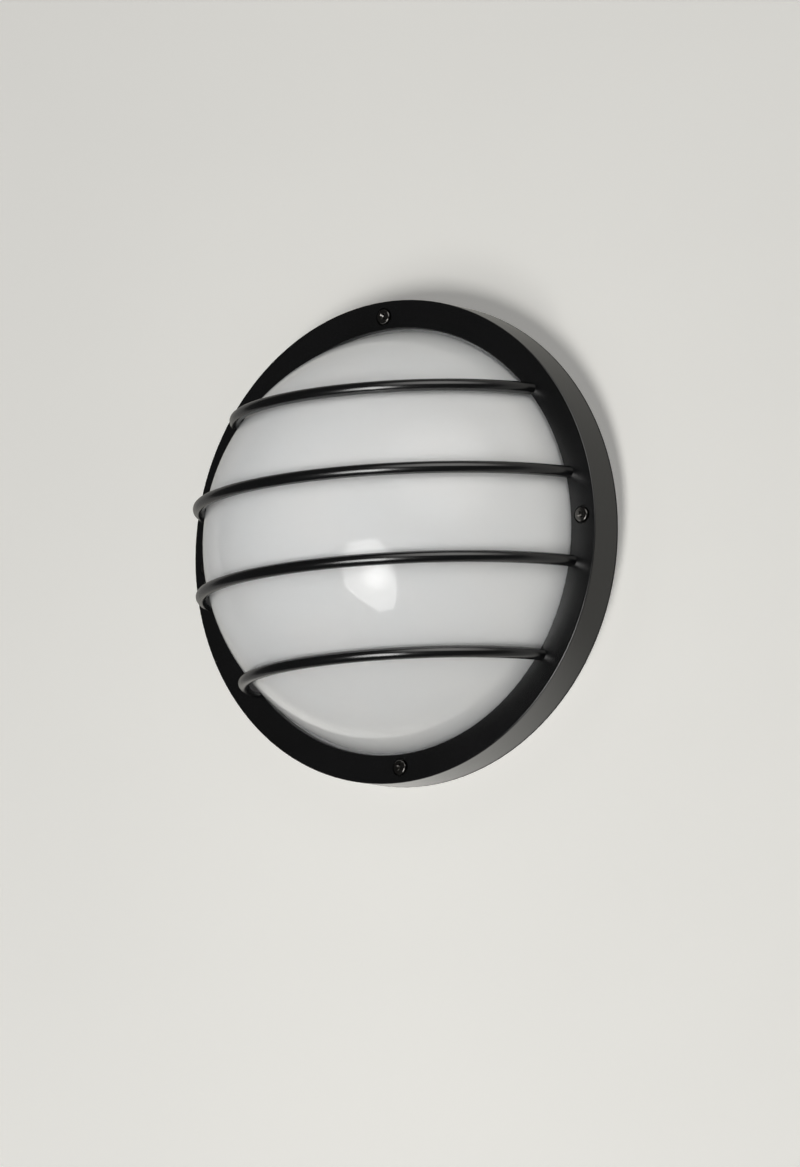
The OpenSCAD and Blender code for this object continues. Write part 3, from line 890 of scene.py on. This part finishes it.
@dataclass(frozen=True)
class LampTray:
    """The reflector with the lamp and its holder."""

    def build(self) -> None:
        """Dresses the tray, the holder and the lamp."""
        for node in ("reflector_screws", "bracket_screws", "holder_screws", "holder_bracket"):
            dress(node, ZINC)
        for node in ("holder_shell", "holder_contact"):
            dress(node, BRASS)
        dress("reflector_plate", ENAMEL)
        dress("lamp_holder", GLAZE)
        dress("lamp_bulb", LAMP_GLOBE)


@dataclass(frozen=True)
class Wiring:
    """The terminal block, the leads and the earth screw."""

    def build(self) -> None:
        """Dresses the wiring."""
        for node in ("terminal_screws", "terminal_fixing_screw", "earth_screw"):
            dress(node, ZINC)
        dress("terminal_block", NYLON)
        dress("terminal_barrels", BRASS)
        dress("live_lead", LIVE_SKIN)
        dress("neutral_lead", NEUTRAL_SKIN)
        dress("earth_lead", EARTH_SKIN)


def towards(azimuth_deg: float, elevation_deg: float) -> Vector:
    """Returns the direction from the light to a place in the room.

    Args:
        azimuth_deg: 0 straight out from the wall, and 90 to the right along it.
        elevation_deg: The angle above the horizon.

    Returns:
        The unit vector.
    """
    azimuth, elevation = math.radians(azimuth_deg), math.radians(elevation_deg)
    return Vector((
        math.sin(azimuth) * math.cos(elevation),
        -math.cos(azimuth) * math.cos(elevation),
        math.sin(elevation),
    ))


class Target(Enum):
    """What a soft box lights: the backdrop behind the wall light, or the wall light itself."""

    BACKDROP = "backdrop"
    PART = "part"


@dataclass(frozen=True)
class SoftBox:
    """An eight-sided cloth box with a lamp behind it, facing the wall light.

    In the cloth's own plane, the lamp adds hot times the radiance at hot_at, fading to none at hot_r from
    there. The cuts give, corner by corner, how much of the half width and the half height is cut off.
    """

    name: str
    target: Target
    azimuth_deg: float
    elevation_deg: float
    distance: float
    width: float
    height: float
    radiance: float
    colour: Colour
    hot: float = 0.0
    hot_at: tuple[float, float] = (0.0, 0.0)
    hot_r: float = 0.5
    cuts: tuple[tuple[float, float], ...] = ((0.32, 0.32),) * 4
    mirrored: bool = True

    def material(self) -> bpy.types.Material:
        """Returns the glowing cloth, brightest in front of the lamp, and black from behind."""
        cloth = bpy.data.materials.new(self.name + "_cloth")
        sheet = NodeSheet(cloth)
        across = (sheet.axis("X") - self.hot_at[0]) / self.hot_r
        up = (sheet.axis("Y") - self.hot_at[1]) / self.hot_r
        centre = 1 - (across**2 + up**2).at_most(1.0)
        glow = sheet.add(
            "ShaderNodeEmission",
            None,
            {"Color": (*self.colour, 1.0), "Strength": (1 + centre * self.hot) * self.radiance},
        )
        dark = sheet.add("ShaderNodeEmission", None, {"Strength": 0.0})
        side = sheet.add("ShaderNodeNewGeometry").outputs["Backfacing"]
        sheet.show(sheet.mixed(side, glow, dark))
        return cloth

    def build(self, lit: dict[Target, bpy.types.Collection]) -> None:
        """Makes the box's front as a stage piece that the camera doesn't see.

        Args:
            lit: What each target is made of.
        """
        half_w, half_h = self.width / 2, self.height / 2
        corners = []
        for (side, top), (across, up) in zip(CORNERS, self.cuts):
            pair = [(side * half_w, top * half_h * (1 - up)), (side * half_w * (1 - across), top * half_h)]
            corners += pair if side == top else reversed(pair)
        form = bmesh.new()
        form.faces.new([form.verts.new((x, y, 0.0)) for x, y in corners])
        piece = as_object(self.name, form)
        away = towards(self.azimuth_deg, self.elevation_deg)
        facing = (-away).to_track_quat("Z", "Y").to_matrix().to_4x4()
        piece.matrix_world = Matrix.Translation(away * self.distance) @ facing
        piece.data.materials.append(self.material())
        piece.visible_camera = False
        piece.visible_shadow = False
        piece.visible_glossy = self.mirrored
        piece.light_linking.receiver_collection = lit[self.target]
        angles = (self.azimuth_deg, self.elevation_deg)
        LOG.info("%s stands at azimuth %.0f, elevation %.0f", self.name, *angles)


@dataclass(frozen=True)
class Room:
    """The painted wall panel, the floor and the dim room in front of them.

    The paint has a faint even glow of its own, the lift, which stands for the light in its shadows. In
    mirrors the wall glows instead: mirror_low turns to mirror_high over the heights of mirror_step, and
    both turn to mirror_far over the radii of mirror_ring.
    """

    half_width: float = 0.75
    floor_half: float = 6.0
    ceiling: float = 0.9
    floor: float = -2.6
    hole_r: float = 125 * MM
    patch: float = 0.3
    setback: float = 0.05 * MM
    wall_low: float = -1.0
    sides: int = 96
    # Painted shade: the wall's paint is darker on the left and paler on the right, standing for light that
    # falls unevenly across it.
    shaded_left: Colour = (0.78, 0.772, 0.742)
    lit_right: Colour = (0.85, 0.84, 0.805)
    shade_step: tuple[float, float] = (-0.3, 0.02)
    cloud: float = 180 * MM
    cloud_share: float = 0.2
    roller: float = 9 * MM
    roller_depth: float = 0.06 * MM
    wall_sheen: float = 0.75
    mirror_low: Colour = (1.0, 0.985, 0.93)
    mirror_high: Colour = (0.37, 0.362, 0.335)
    mirror_far: Colour = (0.3, 0.295, 0.285)
    mirror_step: tuple[float, float] = (-0.148, -0.058)
    mirror_ring: tuple[float, float] = (0.16, 0.24)
    lift: float = 0.34
    floor_dark: Colour = (0.72, 0.71, 0.69)
    floor_light: Colour = (0.76, 0.75, 0.73)
    floor_cloud: float = 0.4
    floor_sheen: float = 0.8
    air: Colour = (1.0, 0.99, 0.97)
    dim: float = 0.05
    pale: float = 0.74

    def wall_material(self) -> bpy.types.Material:
        """Returns the wall's paint, which the camera sees through from behind."""
        material = bpy.data.materials.new("wall_paint")
        sheet = NodeSheet(material)
        roller = sheet.noise(self.roller, detail=3.0, roughness=0.55)
        cloud = sheet.noise(self.cloud, detail=3.0, stretch=(2.0, 1.0, 1.0)).rise(low=0.3, high=0.7)
        # Painted shade: the paint darkens towards the left of the wall, mixed with a faint random mottle.
        lit_share = sheet.axis("X").rise(*self.shade_step)
        share = lit_share * (1 - self.cloud_share) + cloud * self.cloud_share
        paint = sheet.blend(share, self.shaded_left, self.lit_right)
        shader = sheet.surface(
            Base_Color=paint,
            Emission_Color=paint,
            Emission_Strength=self.lift,
            Roughness=self.wall_sheen,
            Normal=sheet.bump(roller, self.roller_depth),
        )
        out = (sheet.axis("X") ** 2 + sheet.axis("Z") ** 2) ** 0.5
        near = sheet.blend(sheet.axis("Z").rise(*self.mirror_step), self.mirror_low, self.mirror_high)
        mirrored = sheet.blend(out.rise(*self.mirror_ring), near, self.mirror_far)
        glow = sheet.add("ShaderNodeEmission", None, {"Color": mirrored})
        clear = sheet.add("ShaderNodeBsdfTransparent")
        behind = Signal(sheet, sheet.add("ShaderNodeNewGeometry").outputs["Backfacing"])
        path = sheet.add("ShaderNodeLightPath").outputs
        painted = sheet.mixed(path["Is Glossy Ray"], shader, glow)
        sheet.show(sheet.mixed(behind * Signal(sheet, path["Is Camera Ray"]), painted, clear))
        return material

    def build_wall(self) -> None:
        """Makes the wall, with the hole in it that the light covers."""
        form = bmesh.new()
        inner, middle = [], []
        for k in range(self.sides):
            turn = 2 * math.pi * k / self.sides
            x, z = math.cos(turn), math.sin(turn)
            reach = self.patch / max(abs(x), abs(z))
            inner.append(form.verts.new((x * self.hole_r, self.setback, z * self.hole_r)))
            middle.append(form.verts.new((x * reach, self.setback, z * reach)))
        for k in range(self.sides):
            after = (k + 1) % self.sides
            form.faces.new((inner[k], middle[k], middle[after], inner[after]))
        outer = [
            form.verts.new((x * self.half_width, self.setback, self.ceiling if z > 0 else self.wall_low))
            for x, z in CORNERS
        ]
        eighth = self.sides // 8
        for k in range(4):
            first = eighth + 2 * eighth * k
            run = [middle[(first + j) % self.sides] for j in range(2 * eighth + 1)]
            form.faces.new([*run, outer[(k + 1) % 4], outer[k]])
        bmesh.ops.recalc_face_normals(form, faces=form.faces)
        form.normal_update()
        # The painted side looks out from the wall, along -y.
        if sum(face.normal.y * face.calc_area() for face in form.faces) > 0:
            bmesh.ops.reverse_faces(form, faces=form.faces)
        wall = as_object("wall", form)
        wall.data.materials.append(self.wall_material())

    def build_floor(self) -> None:
        """Makes the pale floor below the wall."""
        material = bpy.data.materials.new("floor_paint")
        sheet = NodeSheet(material)
        cloud = sheet.noise(self.floor_cloud, detail=3.0)
        sheet.surface(
            Base_Color=sheet.blend(cloud, self.floor_dark, self.floor_light),
            Roughness=self.floor_sheen,
        )
        form = bmesh.new()
        form.faces.new([
            form.verts.new((x * self.floor_half, y * self.floor_half, self.floor)) for x, y in CORNERS
        ])
        floor = as_object("floor", form)
        floor.data.materials.append(material)
        floor.visible_glossy = False

    def build_world(self) -> None:
        """Makes the dim room that the coat mirrors, with a pale backdrop for the camera."""
        world = bpy.data.worlds.new("room")
        sheet = NodeSheet(world)
        seen = sheet.add("ShaderNodeLightPath").outputs["Is Camera Ray"]
        mix = sheet.add("ShaderNodeMix", None, {"Factor": seen, "A": self.dim, "B": self.pale})
        back = {"Color": (*self.air, 1.0), "Strength": mix.outputs["Result"]}
        sheet.show(sheet.add("ShaderNodeBackground", None, back))
        bpy.context.scene.world = world

    def build(self) -> None:
        """Makes the wall, the floor and the room."""
        self.build_wall()
        self.build_floor()
        self.build_world()
        LOG.info("the wall, the floor and the room are made")


@dataclass(frozen=True)
class BackLamp:
    """A lamp behind the wall that shows the back of the base through the hole."""

    place: Place = (0.5, 1.5, 0.7)
    size: float = 1.2
    power: float = 26.0

    def build(self) -> None:
        """Makes the lamp."""
        lamp = bpy.data.lights.new("back_lamp", "AREA")
        lamp.shape = "DISK"
        lamp.size = self.size
        lamp.energy = self.power
        holder = bpy.data.objects.new("back_lamp", lamp)
        holder.location = self.place
        holder.rotation_euler = (-Vector(self.place)).to_track_quat("-Z", "Y").to_euler()
        holder.visible_camera = False
        bpy.context.scene.collection.objects.link(holder)


@dataclass(frozen=True)
class PhotoCamera:
    """The camera of the photograph: where it stands, and how it is turned about its own axis."""

    azimuth_deg: float = 34.421
    elevation_deg: float = -8.522
    roll_deg: float = -2.077
    distance: float = 5.04778
    target: Place = (-10.805 * MM, 0.0, -19.308 * MM)
    focal_px: float = 9417.69
    frame_px: tuple[int, int] = (800, 1167)
    sensor: float = 36.0
    clip: tuple[float, float] = (0.1, 100.0)

    def build(self) -> None:
        """Makes the camera."""
        data = bpy.data.cameras.new("photo_camera")
        data.sensor_width = self.sensor
        data.lens = self.focal_px / max(self.frame_px) * self.sensor
        data.clip_start, data.clip_end = self.clip
        camera = bpy.data.objects.new("photo_camera", data)
        bpy.context.scene.collection.objects.link(camera)
        back = towards(self.azimuth_deg, self.elevation_deg)
        side = Vector((0, 0, 1)).cross(back).normalized()
        top = back.cross(side)
        roll = math.radians(self.roll_deg)
        right = side * math.cos(roll) + top * math.sin(roll)
        up = top * math.cos(roll) - side * math.sin(roll)
        turn = Matrix((right, up, back)).transposed().to_4x4()
        camera.matrix_world = Matrix.Translation(Vector(self.target) + back * self.distance) @ turn
        bpy.context.scene.camera = camera


LAMPS = (
    SoftBox(
        "low_box", Target.BACKDROP, azimuth_deg=-11.5, elevation_deg=-26.0, distance=3.0,
        width=0.65, height=1.55, radiance=17.2, colour=(1.0, 0.995, 0.975),
    ),
    SoftBox(
        "key_box", Target.PART, azimuth_deg=6.4, elevation_deg=-22.3, distance=2.6,
        width=1.27, height=1.75, radiance=4.6, colour=(1.0, 0.99, 0.975),
        hot=1.35, hot_at=(-0.17, 0.02), hot_r=0.42,
        cuts=((0.5, 0.5), (0.5, 0.5), (0.37, 0.53), (1.0, 0.77)),
    ),
    SoftBox(
        "fill_box", Target.PART, azimuth_deg=50.0, elevation_deg=33.0, distance=2.2,
        width=2.8, height=2.7, radiance=0.05, colour=(1.0, 0.985, 0.96), hot=36.0, hot_r=1.4,
    ),
    SoftBox(
        "tent", Target.PART, azimuth_deg=0.0, elevation_deg=0.0, distance=4.6,
        width=18.0, height=18.0, radiance=0.49, colour=(0.98, 0.995, 1.0), mirrored=False,
    ),
)


def lit_groups() -> dict[Target, bpy.types.Collection]:
    """Returns what each target is made of: the pieces of the stage, and all others."""
    groups = {target: bpy.data.collections.new(target.value) for target in Target}
    stage = {"wall", "floor"}
    for piece in bpy.context.scene.objects:
        if piece.type == "MESH":
            groups[Target.BACKDROP if piece.name in stage else Target.PART].objects.link(piece)
    return groups


def main() -> None:
    logging.basicConfig(level=logging.INFO, format="%(name)s: %(message)s")
    PhotoCamera().build()
    for assembly in (GuardRing(), OpalDome(), RingFixings(), BackCasting(), LampTray(), Wiring()):
        assembly.build()
    for stage in (Room(), BackLamp()):
        stage.build()
    lit = lit_groups()
    for lamp in LAMPS:
        lamp.build(lit)
    bpy.context.scene.view_settings.view_transform = "Standard"


if __name__ == "__main__":
    main()
